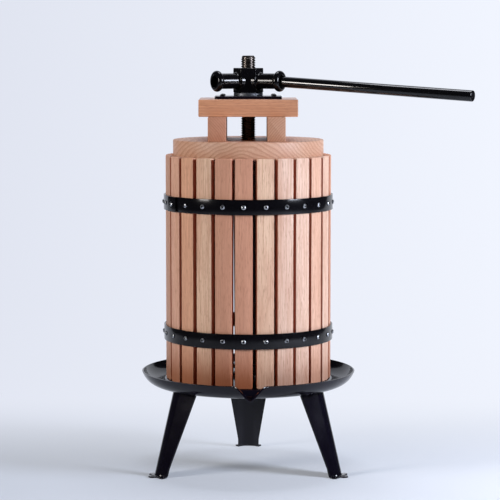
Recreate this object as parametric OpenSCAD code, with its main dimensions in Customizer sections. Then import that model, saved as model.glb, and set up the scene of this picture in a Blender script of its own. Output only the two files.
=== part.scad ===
// Basket press for fruit: a slatted basket in a drip tray on three legs, with a fixed screw,
// a turning nut and a wooden press head. Sizes are in millimetres and degrees.
// The origin is on the floor under the screw, +Z is up and the spout points along -Y.

/* [Basket] */
// Diameter over the corners of the slats
basket_d = 280; // [240:1:320]
// Number of slats
slat_count = 25; // [20:1:28]
// Gap between two slats at the outside
slat_gap = 6.5; // [4:0.5:9]
// Thickness of a slat
slat_t = 11; // [9:0.5:14]
// Length of a slat
slat_h = 377.7; // [300:0.1:450]
// Gap between the slats' lower ends and the tray
basket_gap = 0.3; // [0.1:0.1:1]
// Radius of a slat's four corners
slat_corner_r = 3; // [1:0.5:5]
// Most that a slat stands beside its even place
slat_wander = 1; // [0:0.1:1.5]
// Direction of the first slat, from +X
first_slat_az = -93; // [-180:1:180]

/* [Hoops] */
// Height of a hoop
hoop_h = 25; // [18:1:35]
// Thickness of a hoop
hoop_t = 3; // [2:0.5:4]
// Distance from a slat's end to the nearer hoop
hoop_inset = 66; // [40:1:100]
// Play between the hoop and the corners of the slats
hoop_fit = 0.05; // [0.05:0.05:0.3]
// Length of a hoop's lap, as an angle
lap_deg = 10.6; // [8:0.1:14]
// Slat on which the upper hoop laps
upper_lap_slat = 21; // [0:1:24]
// Slat on which the lower hoop laps
lower_lap_slat = 9; // [0:1:24]
// Diameter of a hoop screw's head
hoop_screw_head_d = 8; // [6:0.5:10]
// Height of a hoop screw's head
hoop_screw_head_h = 2.6; // [2:0.1:3.5]
// Diameter of a hoop screw's shank
hoop_screw_d = 3.5; // [3:0.1:4.5]
// Wood left between a screw's tip and the inside of the slat
tip_cover = 1.8; // [1:0.1:3]

/* [Drip tray] */
// Thickness of the tray's sheet
tray_t = 2.5; // [1.5:0.1:3]
// Flat of the tray's middle beyond the basket
platform_margin = 3; // [2:0.5:8]
// Run of the slope from the middle down to the channel
slope_run = 5.5; // [4:0.5:10]
// Depth of the channel below the middle
channel_drop = 10.5; // [6:0.5:16]
// Outer radius of the curve from the channel up to the rim
wall_r = 34; // [28:1:40]
// Angle by which the curve stops short of upright
rim_short_deg = 17; // [10:1:25]
// Reach of the spout beyond the rim
spout_over = 9; // [6:0.5:14]
// Radius of the spout's outline seen from above
spout_plan_r = 40; // [36:1:46]
// Turn of the spout from straight ahead, to the right
spout_turn = 1; // [-5:0.5:5]
// Radius of the spout's shoulders
spout_shoulder_r = 14; // [10:1:18]

/* [Legs] */
// Height of the underside of the tray's middle
leg_h = 154; // [130:1:200]
// Distance from the edge of the tray's middle in to a leg's outer face
leg_inset = 6; // [4:0.5:12]
// Distance that a leg leans out on its way to the floor
leg_splay = 41; // [20:1:60]
// Width of a leg at the top
leg_top_w = 81.6; // [70:0.2:90]
// Width of a leg at the ankle
leg_ankle_w = 37; // [32:0.5:42]
// Height of the ankle
ankle_z = 15; // [10:1:25]
// Width of a leg's outer strip
leg_strip_w = 16; // [13:0.5:20]
// Depth of a leg's channel at the top
leg_top_depth = 18; // [12:0.5:24]
// Depth of a leg's channel at the foot
leg_foot_depth = 9; // [6:0.5:12]
// Thickness of a leg's sheet
leg_t = 3; // [2:0.1:4]
// Length of each bend beside the outer strip
leg_bend = 5; // [3:0.5:6]
// Width of a foot
foot_w = 46; // [40:1:52]
// Thickness of a foot
foot_t = 2.5; // [2:0.1:4]
// Distance from the leg's outer face to the foot's tip
foot_toe = 13.5; // [12:0.5:20]
// Distance from the leg's outer face to the foot's heel
foot_heel = 14; // [14:0.5:18]
// Distance from the leg's outer face to the edge of the foot's lip
foot_lip = 3; // [2:0.5:4]
// Corner radius of a foot's lip
foot_corner = 5; // [4:0.5:6]
// Diameter of the hole in a foot
foot_hole_d = 7; // [5:0.5:8]
// Distance from the leg's outer face to the hole in its foot
foot_hole_out = 6.3; // [5:0.1:8]
// Diameter of a leg bolt
leg_bolt_d = 8; // [6:1:10]
// Distance from a leg's outer face in to its bolts
leg_bolt_inset = 29; // [26:0.5:36]
// Distance between a leg's two bolts
leg_bolt_gap = 44; // [36:1:50]

/* [Screw] */
// Diameter over the thread
spindle_d = 24; // [20:1:28]
// Pitch of the thread
pitch = 4; // [3:0.5:5]
// Depth of the thread
thread_depth = 1.4; // [1:0.1:1.8]
// Length of the screw above the nut at rest
spindle_over = 20.5; // [15:0.5:60]
// Length of the screw below its lower clamp nut
spindle_under = 9; // [4:1:20]
// Play between the screw and the bore of a nut
thread_fit = 0.05; // [0.03:0.01:0.1]
// Play between the screw and the hole in the tray
tray_hole_fit = 0.5; // [0.3:0.1:1]
// Width across the flats of a clamp nut
clamp_af = 36; // [34:1:46]
// Height of a clamp nut
clamp_h = 19; // [14:1:24]
// Diameter of a clamp washer
clamp_washer_d = 44; // [40:1:60]
// Thickness of a clamp washer
clamp_washer_t = 3; // [2:0.5:5]

/* [Press head] */
// Thickness of the pressing disc
disc_t = 30; // [22:1:40]
// Height of the disc's top above the slats
disc_proud = 26; // [10:1:28]
// Play between the disc and the inside of the slats
disc_fit = 1.3; // [1:0.1:4]
// Gap between the halves of the disc
disc_split = 1; // [0.5:0.1:3]
// Width of the disc's eased top edge
disc_ease = 1.5; // [0.5:0.5:4]
// Play around the screw in the disc
disc_hole_fit = 2; // [1.5:0.5:6]
// Width of a spacer bar
bar_w = 30; // [22:1:36]
// Height of a spacer bar
bar_h = 40; // [30:1:50]
// Distance between the middles of the spacer bars
bar_gap = 98; // [88:1:110]
// Distance of the bars' middle from the screw, to the right
bar_shift = -2.5; // [-5:0.5:5]
// Distance from a bar's corner in from the disc's edge, along the bar
bar_end_inset = 12; // [6:1:30]
// Overhang of the beam past the bars
beam_overhang = 18.5; // [5:0.5:20]
// Depth of the beam from front to back
beam_d = 140; // [110:1:150]
// Thickness of the beam
beam_t = 28.5; // [24:0.5:40]
// Radius of the beam's upright edges
beam_edge_r = 2; // [1:0.5:5]
// Play around the screw in the beam, the plate and the ring
head_hole_fit = 1.2; // [0.8:0.1:2]
// Width of the head plate
plate_w = 112; // [100:1:130]
// Depth of the head plate from front to back
plate_d = 90; // [82:1:110]
// Thickness of the head plate
plate_t = 5; // [3:0.5:8]
// Radius of the head plate's corners
plate_corner_r = 2; // [1:0.5:6]
// Distance from the plate's edges to its screws
plate_screw_inset = 13; // [9:0.5:14]
// Length of a plate screw under its head
plate_screw_l = 22; // [14:1:26]
// Diameter of the thrust ring
ring_d = 49; // [44:1:54]
// Thickness of the thrust ring
ring_t = 5; // [3:0.5:8]

/* [Nut] */
// Width of the nut's hub across its corners
hub_corners = 49; // [44:1:54]
// Height of the nut's hub
hub_h = 41.5; // [38:0.5:50]
// Height of the arms' axis above the hub's base
arm_z = 19.6; // [19:0.1:22]
// Diameter of an arm
arm_d = 26; // [25:0.5:28]
// Radius of the fillet between the hub and an arm
arm_root_r = 4; // [2:0.5:5]
// Diameter of the bead round a socket's mouth
bead_d = 35.5; // [33:0.5:37]
// Width of the bead
bead_w = 11.5; // [9:0.5:13]
// Distance from the screw's axis to a socket's mouth
arm_reach = 66; // [62:1:80]
// Radius of the fillet between an arm and its bead
bead_root_r = 2.5; // [1:0.5:3]
// Diameter of a socket
socket_d = 20.4; // [19.5:0.1:21]
// Depth of a socket
socket_depth = 39; // [36:0.5:40]

/* [Handle] */
// Diameter of the handle bar
handle_d = 18; // [16:0.5:18.5]
// Length of the handle bar
handle_l = 382; // [250:1:600]
// Length of the bar inside its socket
handle_in = 36; // [30:0.5:38]
// Gap between the bar and its socket where the bar bears
handle_seat = 0.2; // [0.1:0.05:0.3]
// Width of the eased edge at the bar's ends
handle_ease = 1; // [0.5:0.5:3]

/* [Hidden] */
$fn = 96;
cut = 1;

// Colours
beech = "#d8a57c";
black_paint = "#1d1c20";
zinc = "#c4c6c9";
steel = "#8d9095";

// Stack of heights from the floor up
platform_z = leg_h + tray_t;
channel_z = platform_z - channel_drop;
slat_z = platform_z + basket_gap;
slat_top = slat_z + slat_h;
lower_hoop_z = slat_z + hoop_inset + hoop_h / 2;
upper_hoop_z = slat_top - hoop_inset - hoop_h / 2;
disc_top = slat_top + disc_proud;
bar_top = disc_top + bar_h;
beam_top = bar_top + beam_t;
plate_top = beam_top + plate_t;
ring_top = plate_top + ring_t;
hub_top = ring_top + hub_h;
spindle_top = hub_top + spindle_over;

// Basket
basket_r = basket_d / 2;
slat_step = 360 / slat_count;
slat_w = 2 * basket_r * sin(slat_step / 2) - slat_gap;
slat_out = sqrt(pow(basket_r, 2) - pow(slat_w / 2, 2));
slat_in = slat_out - slat_t;
hoop_r = basket_r + hoop_fit;
hoop_out = hoop_r + hoop_t;
screw_fit = 0.05;
screw_seat = 0.02;
screw_tip_r = slat_in + tip_cover;
pilot_spare = 0.3;

// Tray
platform_r = basket_r + platform_margin;
channel_r = platform_r + slope_run;
slope_shift = tray_t * tan(atan(channel_drop / slope_run) / 2);
wall_z = channel_z - tray_t + wall_r;
rim_r = channel_r + wall_r * cos(rim_short_deg);
rim_z = wall_z - wall_r * sin(rim_short_deg);
spout_h = rim_z - channel_z;
spout_reach = rim_r + spout_over;
shoulder_x = spout_h + spout_shoulder_r * tan(22.5);

// Screw
spindle_r = spindle_d / 2;
nut_bore_r = spindle_r + thread_fit;
upper_clamp_z = platform_z + clamp_washer_t;
lower_clamp_z = leg_h - clamp_washer_t - clamp_h;
spindle_z = lower_clamp_z - spindle_under;
thread_count = floor((spindle_top - spindle_z) / pitch);

// Legs
LEG_AZ = [-150, -30, 90];
leg_top_r = platform_r - leg_inset;
leg_foot_r = leg_top_r + leg_splay;
leg_bolt_u = leg_top_r - leg_bolt_inset;
bolt_fit = 0.2;
bolt_r = leg_bolt_d / 2;
bolt_head_r = 0.9 * leg_bolt_d;
bolt_head_h = 0.55 * leg_bolt_d;
bolt_washer_r = leg_bolt_d;
bolt_washer_t = 1.6;
bolt_nut_af = leg_bolt_d + 5;
bolt_nut_h = 0.8 * leg_bolt_d;
bolt_tail = 2;
bolt_l = tray_t + leg_t + bolt_washer_t + bolt_nut_h + bolt_tail;
ear_border = 6;
leg_lip = 1.5;

// Press head
disc_r = slat_in - disc_fit;
bar_x = bar_gap / 2;
bar_corner_x = bar_x + bar_w / 2;
bar_l = 2 * (sqrt(pow(disc_r, 2) - pow(bar_corner_x, 2)) - bar_end_inset);
beam_w = 2 * (bar_corner_x + beam_overhang);
head_hole_r = spindle_r + head_hole_fit;
plate_screw_x = plate_w / 2 - plate_screw_inset;
plate_screw_y = plate_d / 2 - plate_screw_inset;
plate_screw_r = 2.5;
plate_screw_head_r = 4.5;
plate_screw_head_h = 2.8;

// Nut and handle
ARM_AZ = [-150, -30, 90];
HANDLE_AZ = -30;
arm_r = arm_d / 2;
hub_flat_r = hub_corners / 2 * cos(30);
hub_chamfer = 1.5;
bead_round = bead_w / 2;
bead_mid_r = bead_d / 2 - bead_round;
bead_mid_u = arm_reach - bead_round;
crease_deg = acos((arm_r + bead_root_r - bead_mid_r) / bead_round);
crease_u = bead_mid_u - bead_round * sin(crease_deg);
socket_r = socket_d / 2;
handle_r = handle_d / 2;
handle_droop = atan(2 * (socket_r - handle_r - handle_seat) / handle_in);

function two_digits(k) = str(k < 10 ? "0" : "", k);
function slat_name(i) = str("slat_", two_digits(i + 1));
SLAT_NODES = [for (i = [0 : slat_count - 1]) slat_name(i)];

// Points of an arc, from one angle to another
function arc(centre, r, from, to, steps = 8) =
  [for (k = [0 : steps]) let (a = from + (to - from) * k / steps) centre + r * [cos(a), sin(a)]];
function reversed(list) = [for (k = [len(list) - 1 : -1 : 0]) list[k]];
function mix(a, b, t) = a + (b - a) * t;
function flipped(list) = [for (p = list) [-p[0], p[1]]];

// Small shapes that repeat
module ring(inner, outer, h) {
  difference() {
    cylinder(h = h, r = outer);
    translate([0, 0, -cut]) cylinder(h = h + 2 * cut, r = inner);
  }
}

module rounded_rect(w, h, r) {
  translate([-w / 2, r]) square([w, h - 2 * r]);
  translate([-w / 2 + r, 0]) square([w - 2 * r, h]);
  for (x = [-w / 2 + r, w / 2 - r], y = [r, h - r]) translate([x, y]) circle(r);
}

module hex_nut(af, h, bore) {
  chamfer = af / 20;
  corner_r = af / 2 / cos(30);
  difference() {
    intersection() {
      cylinder(h = h, r = corner_r, $fn = 6);
      rotate_extrude() polygon([[0, 0], [corner_r - chamfer, 0], [corner_r, chamfer],
        [corner_r, h - chamfer], [corner_r - chamfer, h], [0, h]]);
    }
    translate([0, 0, -cut]) cylinder(h = h + 2 * cut, r = bore);
  }
}

// Pan-head screw along +Z, with its head's seat at z = 0 and its shank below
module pan_screw(head_r, head_h, shank_r, shank_l) {
  side_h = head_h * 0.45;
  crown_h = head_h - side_h;
  crown_r = (pow(head_r, 2) + pow(crown_h, 2)) / (2 * crown_h);
  recess_l = head_r * 1.1;
  recess_w = head_r * 0.24;
  difference() {
    union() {
      intersection() {
        cylinder(h = head_h, r = head_r);
        translate([0, 0, head_h - crown_r]) sphere(r = crown_r);
      }
      translate([0, 0, -shank_l]) cylinder(h = shank_l + head_h / 4, r = shank_r);
    }
    for (a = [0, 90]) rotate([0, 0, a + 45])
      translate([-recess_l / 2, -recess_w / 2, head_h * 0.5]) cube([recess_l, recess_w, head_h]);
  }
}

// Drip tray
module tray_profile() {
  polygon([[0, leg_h], [platform_r - slope_shift, leg_h], [channel_r - slope_shift, channel_z - tray_t],
    [channel_r, channel_z - tray_t], [channel_r, channel_z], [platform_r, platform_z], [0, platform_z]]);
  translate([channel_r, wall_z]) intersection() {
    difference() {
      circle(wall_r);
      circle(wall_r - tray_t);
    }
    polygon([[0, 0], [0, -2 * wall_r], [2 * wall_r, -2 * wall_r],
      2 * wall_r * [cos(rim_short_deg), -sin(rim_short_deg)]]);
  }
}

module tray_air() {
  rotate_extrude() {
    translate([0, channel_z]) square([channel_r, wall_r]);
    translate([channel_r, wall_z]) circle(wall_r - tray_t);
  }
}

// Half of the spout's section, from the shoulder's top down to the V
function shoulder(r) = arc([shoulder_x, spout_h - spout_shoulder_r], r, 90, 135);
SPOUT_INSIDE = concat(flipped(shoulder(spout_shoulder_r)), [[0, 0]], reversed(shoulder(spout_shoulder_r)));
SPOUT_OUTSIDE = concat(flipped(shoulder(spout_shoulder_r - tray_t)), [[0, -tray_t * sqrt(2)]],
  reversed(shoulder(spout_shoulder_r - tray_t)));

// Extrudes a section of the spout forward from the channel
module spout_run(reach) {
  translate([0, -channel_r, channel_z]) rotate([90, 0, 0]) linear_extrude(reach - channel_r) children();
}

module spout() {
  difference() {
    intersection() {
      spout_run(spout_reach) polygon(concat(SPOUT_INSIDE, reversed(SPOUT_OUTSIDE)));
      translate([0, spout_plan_r - spout_reach, 0]) cylinder(h = rim_z + cut, r = spout_plan_r);
    }
    tray_air();
  }
}

module drip_tray() {
  color(black_paint) {
    difference() {
      rotate_extrude() tray_profile();
      rotate([0, 0, spout_turn]) spout_run(spout_reach + cut)
        polygon(concat(SPOUT_INSIDE, [[shoulder_x, spout_h + wall_r], [-shoulder_x, spout_h + wall_r]]));
      translate([0, 0, leg_h - cut]) cylinder(h = tray_t + 2 * cut, r = spindle_r + tray_hole_fit);
      at_leg_bolts() translate([0, 0, leg_h - cut]) cylinder(h = tray_t + 2 * cut, r = bolt_r + bolt_fit);
    }
    rotate([0, 0, spout_turn]) spout();
  }
}

// Legs: u runs outward, v across
function leg_u(z) = mix(leg_foot_r, leg_top_r, z / leg_h);
function leg_share(z) = max(0, (z - ankle_z) / (leg_h - ankle_z));
function leg_half_w(z) = mix(leg_ankle_w, leg_top_w, leg_share(z)) / 2;
function leg_depth(z) = mix(leg_foot_depth, leg_top_depth, leg_share(z));
function toward(from, to, length) = from + (to - from) * length / norm(to - from);
function bend(before, corner, after, length, steps = 4) =
  let (a = toward(corner, before, length), b = toward(corner, after, length))
  [for (k = [0 : steps]) let (t = k / steps) mix(mix(a, corner, t), mix(corner, b, t), t)];
function leg_line(u, half_w, depth) =
  let (edge = [u - depth, -half_w], corner = [u, -leg_strip_w / 2])
  let (half = concat([edge], bend(edge, corner, [u, 0], leg_bend)))
  concat(half, reversed([for (p = half) [p[0], -p[1]]]));
function leg_section(z) =
  concat(leg_line(leg_u(z), leg_half_w(z), leg_depth(z)),
    reversed(leg_line(leg_u(z) - leg_t, leg_half_w(z), leg_depth(z))));

module leg_channel() {
  heights = [foot_t / 2, ankle_z, leg_h - leg_t / 2];
  count = len(leg_section(0));
  points = [for (z = heights) for (p = leg_section(z)) [p[0], p[1], z]];
  sides = [for (s = [0 : len(heights) - 2]) for (k = [0 : count - 1])
    let (a = s * count + k, b = s * count + (k + 1) % count)
    for (f = [[a, a + count, b + count], [a, b + count, b]]) f];
  bottom = [for (k = [0 : count - 1]) k];
  top = [for (k = [count - 1 : -1 : 0]) (len(heights) - 1) * count + k];
  polyhedron(points = points, faces = concat(sides, [bottom, top]));
}

// Fixing plate at the top, a little wider than the leg's outline
module leg_ear() {
  heel_u = leg_bolt_u - bolt_washer_r - ear_border;
  heel_half_w = leg_bolt_gap / 2 + bolt_washer_r;
  difference() {
    translate([0, 0, leg_h - leg_t]) linear_extrude(leg_t)
      polygon(concat([[heel_u, -heel_half_w]],
        leg_line(leg_top_r + leg_lip, leg_top_w / 2 + leg_lip, leg_top_depth + leg_t + leg_lip),
        [[heel_u, heel_half_w]]));
    for (side = [-1, 1]) translate([leg_bolt_u, side * leg_bolt_gap / 2, leg_h - leg_t - cut])
      cylinder(h = leg_t + 2 * cut, r = bolt_r + bolt_fit);
  }
}

// Foot: a lip along the leg's outer side, with a round tab for the bolt and a square heel under the leg
module leg_foot() {
  tab_r = foot_toe - foot_hole_out;
  heel_w = leg_ankle_w + 2 * leg_lip;
  lip_half_w = foot_w / 2 - foot_corner;
  difference() {
    translate([leg_foot_r, 0, 0]) linear_extrude(foot_t) {
      translate([-foot_heel, -heel_w / 2]) square([foot_heel, heel_w]);
      translate([foot_lip - 2 * foot_corner, -lip_half_w]) square([2 * foot_corner, 2 * lip_half_w]);
      for (side = [-1, 1]) translate([foot_lip - foot_corner, side * lip_half_w]) circle(foot_corner);
      translate([0, -tab_r]) square([foot_hole_out, 2 * tab_r]);
      translate([foot_hole_out, 0]) circle(tab_r);
    }
    translate([leg_foot_r + foot_hole_out, 0, -cut]) cylinder(h = foot_t + 2 * cut, r = foot_hole_d / 2);
  }
}

module leg(az) {
  color(black_paint) rotate([0, 0, az]) {
    leg_channel();
    leg_ear();
    leg_foot();
  }
}

// Places a piece at each leg bolt's axis
module at_leg_bolts() {
  for (az = LEG_AZ, side = [-1, 1])
    rotate([0, 0, az]) translate([leg_bolt_u, side * leg_bolt_gap / 2, 0]) children();
}

module leg_bolts() {
  color(zinc) at_leg_bolts() translate([0, 0, platform_z])
    pan_screw(bolt_head_r, bolt_head_h, bolt_r, bolt_l);
}

module leg_washers() {
  color(zinc) at_leg_bolts() translate([0, 0, leg_h - leg_t - bolt_washer_t])
    ring(bolt_r + bolt_fit, bolt_washer_r, bolt_washer_t);
}

module leg_nuts() {
  color(zinc) at_leg_bolts() translate([0, 0, leg_h - leg_t - bolt_washer_t - bolt_nut_h])
    hex_nut(bolt_nut_af, bolt_nut_h, bolt_r + thread_fit);
}

// Screw, with its thread as rings of the same pitch and depth
module spindle() {
  root_r = spindle_r - thread_depth;
  thread_l = thread_count * pitch;
  teeth = [for (k = [0 : thread_count - 1]) for (p = [[root_r, 0], [spindle_r, pitch / 2]])
    [p[0], spindle_z + k * pitch + p[1]]];
  color(steel) rotate_extrude()
    polygon(concat([[0, spindle_z]], teeth,
      [[root_r, spindle_z + thread_l], [root_r, spindle_top], [0, spindle_top]]));
}

module clamp_washer(z) {
  color(zinc) translate([0, 0, z]) ring(spindle_r + tray_hole_fit, clamp_washer_d / 2, clamp_washer_t);
}

module clamp_nut(z) {
  color(zinc) translate([0, 0, z]) hex_nut(clamp_af, clamp_h, nut_bore_r);
}

// Basket
function slat_az(i) = first_slat_az + slat_step * i + slat_wander * sin(64 * i) / basket_r * 180 / PI;

module at_slat(i) {
  rotate([0, 0, slat_az(i)]) children();
}

// A hole along the radius at a slat, between two radii
module radial_hole(i, z, from, to, r) {
  at_slat(i) translate([from, 0, z]) rotate([0, 90, 0]) cylinder(h = to - from, r = r);
}

module slat(i) {
  pilot_from = screw_tip_r - pilot_spare;
  color(beech) difference() {
    at_slat(i) translate([slat_in, 0, slat_z]) rotate([90, 0, 90])
      linear_extrude(slat_t) rounded_rect(slat_w, slat_h, slat_corner_r);
    for (z = [lower_hoop_z, upper_hoop_z])
      radial_hole(i, z, pilot_from, slat_out + cut, hoop_screw_d / 2 + screw_fit);
  }
}

module hoop(z, lap_slat) {
  single_deg = 360 - lap_deg;
  color(black_paint) difference() {
    translate([0, 0, z - hoop_h / 2]) ring(hoop_r, hoop_out + hoop_t, hoop_h);
    rotate([0, 0, slat_az(lap_slat % slat_count) + lap_deg / 2]) rotate_extrude(angle = single_deg)
      translate([hoop_out, z - hoop_h / 2 - cut]) square([hoop_t + cut, hoop_h + 2 * cut]);
    for (i = [0 : slat_count - 1])
      radial_hole(i, z, hoop_r - cut, hoop_out + hoop_t + cut, hoop_screw_d / 2 + screw_fit);
  }
}

module hoop_screws(z, lap_slat) {
  color(zinc) for (i = [0 : slat_count - 1]) {
    lap = i == lap_slat % slat_count ? hoop_t : 0;
    seat_r = hoop_out + lap + screw_seat;
    at_slat(i) translate([seat_r, 0, z]) rotate([0, 90, 0])
      pan_screw(hoop_screw_head_d / 2, hoop_screw_head_h, hoop_screw_d / 2, seat_r - screw_tip_r);
  }
}

// Press head
module press_disc(side) {
  half = 2 * disc_r;
  color(beech) translate([0, 0, disc_top - disc_t]) difference() {
    intersection() {
      rotate_extrude() polygon([[0, 0], [disc_r, 0], [disc_r, disc_t - disc_ease],
        [disc_r - disc_ease, disc_t], [0, disc_t]]);
      translate([-half / 2, side > 0 ? disc_split / 2 : -half - disc_split / 2, 0])
        cube([half, half, disc_t]);
    }
    translate([0, 0, -cut]) cylinder(h = disc_t + 2 * cut, r = spindle_r + disc_hole_fit);
  }
}

module spacer_bar(side) {
  color(beech) translate([bar_shift + side * bar_x - bar_w / 2, -bar_l / 2, disc_top])
    cube([bar_w, bar_l, bar_h]);
}

// Places a piece at each plate screw's axis
module at_plate_screws() {
  for (x = [-plate_screw_x, plate_screw_x], y = [-plate_screw_y, plate_screw_y])
    translate([x, y, 0]) children();
}

module pressure_beam() {
  color(beech) difference() {
    translate([0, -beam_d / 2, bar_top]) linear_extrude(beam_t) rounded_rect(beam_w, beam_d, beam_edge_r);
    translate([0, 0, bar_top - cut]) cylinder(h = beam_t + 2 * cut, r = head_hole_r);
    at_plate_screws() translate([0, 0, plate_top - plate_screw_l - pilot_spare])
      cylinder(h = plate_screw_l, r = plate_screw_r + screw_fit);
  }
}

module head_plate() {
  color(black_paint) difference() {
    translate([0, -plate_d / 2, beam_top]) linear_extrude(plate_t)
      rounded_rect(plate_w, plate_d, plate_corner_r);
    translate([0, 0, beam_top - cut]) cylinder(h = plate_t + 2 * cut, r = head_hole_r);
    at_plate_screws() translate([0, 0, beam_top - cut])
      cylinder(h = plate_t + 2 * cut, r = plate_screw_r + screw_fit);
  }
}

module plate_screws() {
  color(black_paint) at_plate_screws() translate([0, 0, plate_top])
    pan_screw(plate_screw_head_r, plate_screw_head_h, plate_screw_r, plate_screw_l);
}

module thrust_ring() {
  color(steel) translate([0, 0, plate_top]) ring(head_hole_r, ring_d / 2, ring_t);
}

// Nut: three arms with sockets on alternate flats of a hexagonal hub
module arm() {
  root = arc([arm_r + arm_root_r, hub_flat_r + arm_root_r], arm_root_r, -90, -180);
  bead_root = arc([arm_r + bead_root_r, crease_u - bead_root_r], bead_root_r, 180, 90);
  bead = arc([bead_mid_r, bead_mid_u], bead_round, -crease_deg, 90, 12);
  rotate_extrude()
    polygon(concat([[0, 0], [arm_r + arm_root_r, 0]], root, bead_root, bead, [[0, arm_reach]]));
}

// Lays a piece that stands along +Z along an arm's axis
module at_arm(az) {
  rotate([0, 0, az]) translate([0, 0, ring_top + arm_z]) rotate([0, 90, 0]) children();
}

module press_nut() {
  hub_r = hub_corners / 2;
  color(black_paint) difference() {
    union() {
      translate([0, 0, ring_top]) intersection() {
        cylinder(h = hub_h, r = hub_r, $fn = 6);
        rotate_extrude() polygon([[0, 0], [hub_r - hub_chamfer, 0], [hub_r, hub_chamfer],
          [hub_r, hub_h - hub_chamfer], [hub_r - hub_chamfer, hub_h], [0, hub_h]]);
      }
      for (az = ARM_AZ) at_arm(az) arm();
    }
    translate([0, 0, ring_top - cut]) cylinder(h = hub_h + 2 * cut, r = nut_bore_r);
    for (az = ARM_AZ) at_arm(az)
      translate([0, 0, arm_reach - socket_depth]) cylinder(h = socket_depth + cut, r = socket_r);
  }
}

module handle_bar() {
  color(black_paint) at_arm(HANDLE_AZ) translate([0, 0, arm_reach - handle_in / 2])
    rotate([0, handle_droop, 0]) translate([0, 0, -handle_in / 2]) rotate_extrude()
      polygon([[0, 0], [handle_r - handle_ease, 0], [handle_r, handle_ease],
        [handle_r, handle_l - handle_ease], [handle_r - handle_ease, handle_l], [0, handle_l]]);
}

drip_tray();
leg(LEG_AZ[0]);  // leg_left
leg(LEG_AZ[1]);  // leg_right
leg(LEG_AZ[2]);  // leg_rear
leg_bolts();
leg_washers();
leg_nuts();
spindle();
clamp_washer(platform_z);  // spindle_washer_upper
clamp_nut(upper_clamp_z);  // spindle_nut_upper
clamp_washer(leg_h - clamp_washer_t);  // spindle_washer_lower
clamp_nut(lower_clamp_z);  // spindle_nut_lower
for (i = [0 : slat_count - 1]) {
  slat(i);
}
hoop(upper_hoop_z, upper_lap_slat);  // hoop_upper
hoop(lower_hoop_z, lower_lap_slat);  // hoop_lower
hoop_screws(upper_hoop_z, upper_lap_slat);  // hoop_screws_upper
hoop_screws(lower_hoop_z, lower_lap_slat);  // hoop_screws_lower
press_disc(-1);  // press_disc_front
press_disc(1);  // press_disc_rear
spacer_bar(-1);  // spacer_bar_left
spacer_bar(1);  // spacer_bar_right
pressure_beam();
head_plate();
plate_screws();
thrust_ring();
press_nut();
handle_bar();
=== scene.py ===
import math
import random

import bmesh
import bpy
from mathutils import Matrix, Vector


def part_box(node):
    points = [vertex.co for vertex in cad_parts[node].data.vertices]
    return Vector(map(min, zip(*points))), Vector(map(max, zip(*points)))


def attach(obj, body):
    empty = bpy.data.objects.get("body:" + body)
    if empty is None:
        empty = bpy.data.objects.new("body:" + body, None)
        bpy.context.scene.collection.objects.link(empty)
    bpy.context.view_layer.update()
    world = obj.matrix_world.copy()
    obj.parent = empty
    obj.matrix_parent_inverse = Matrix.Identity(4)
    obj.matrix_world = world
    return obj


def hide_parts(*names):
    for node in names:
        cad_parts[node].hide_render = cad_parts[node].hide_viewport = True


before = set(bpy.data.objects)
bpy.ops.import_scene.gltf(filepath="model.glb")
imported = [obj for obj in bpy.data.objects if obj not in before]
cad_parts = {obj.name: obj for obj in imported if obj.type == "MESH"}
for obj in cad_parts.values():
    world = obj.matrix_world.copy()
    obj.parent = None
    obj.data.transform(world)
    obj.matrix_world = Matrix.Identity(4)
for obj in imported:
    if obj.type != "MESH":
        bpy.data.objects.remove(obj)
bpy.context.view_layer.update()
scene = bpy.context.scene
mm = 0.001
print("frame loaded:", len(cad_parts), "nodes")


# colour and shader helpers
def linear(hexColour):
    parts = [int(hexColour[k:k + 2], 16) / 255 for k in (1, 3, 5)]
    return [p / 12.92 if p <= 0.04045 else ((p + 0.055) / 1.055) ** 2.4 for p in parts] + [1.0]


def addNode(tree, kind, inputs=None, **settings):
    node = tree.nodes.new("ShaderNode" + kind)
    for name, value in settings.items():
        setattr(node, name, value)
    for key, value in (inputs or {}).items():
        if isinstance(value, bpy.types.Node):
            value = value.outputs[0]
        if isinstance(value, bpy.types.NodeSocket):
            tree.links.new(value, node.inputs[key])
        else:
            node.inputs[key].default_value = value
    return node


def newTree(name):
    material = bpy.data.materials.new(name)
    material.use_nodes = True
    material.node_tree.nodes.clear()
    return material, material.node_tree


def setRamp(node, stops):
    ramp = node.color_ramp
    while len(ramp.elements) < len(stops):
        ramp.elements.new(0.5)
    for element, (place, grey) in zip(ramp.elements, stops):
        element.position = place
        element.color = (grey, grey, grey, 1.0)


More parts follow.
